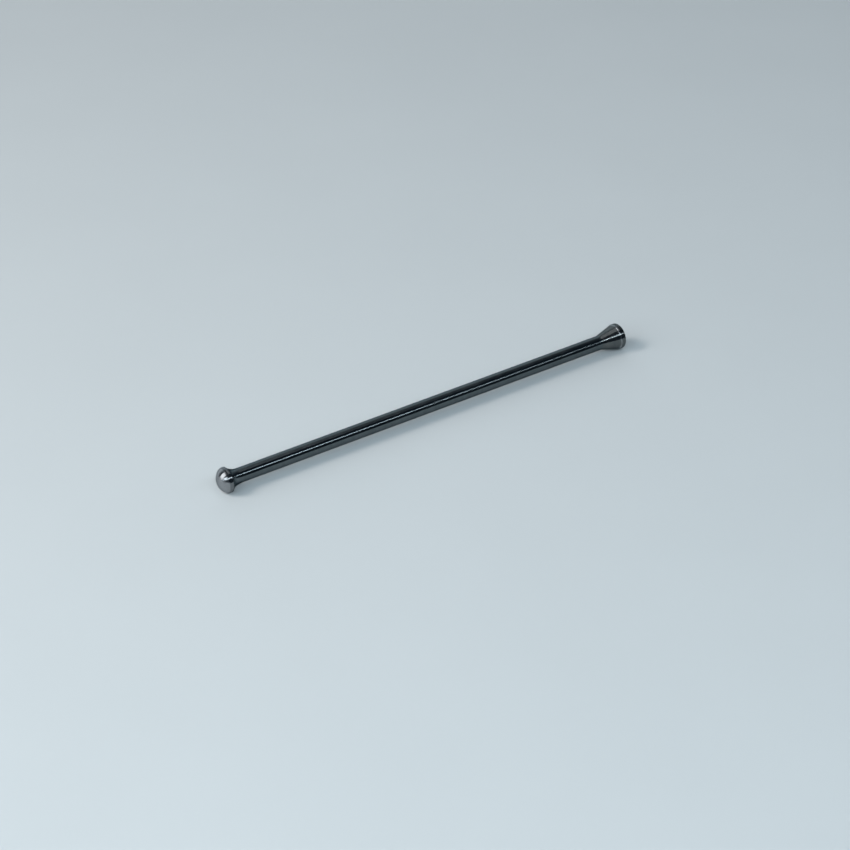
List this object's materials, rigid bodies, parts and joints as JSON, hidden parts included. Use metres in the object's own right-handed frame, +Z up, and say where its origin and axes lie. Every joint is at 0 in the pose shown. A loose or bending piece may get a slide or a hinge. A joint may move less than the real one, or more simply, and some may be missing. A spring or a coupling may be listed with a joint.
{
  "type": "engine pushrod",
  "caption": "Solid steel engine pushrod with a domed ball end, a plain round stem and a flared cup end with a ball socket.",
  "frame": {"origin": "middle of the rod's length, on the surface that it lies on", "axes": "+X along the rod from its ball end to its cup end, +Z up; the axis rises by under 0.1 degrees towards the wider cup end"},
  "size_m": [0.287, 0.0162, 0.0162],
  "materials": {
    "dark_steel": "dark smooth lightly oiled steel, with a paler ground crown and fine turning marks on both ends"
  },
  "bodies": {
    "root": {"pushrod": "dark_steel"}
  },
  "joints": []
}
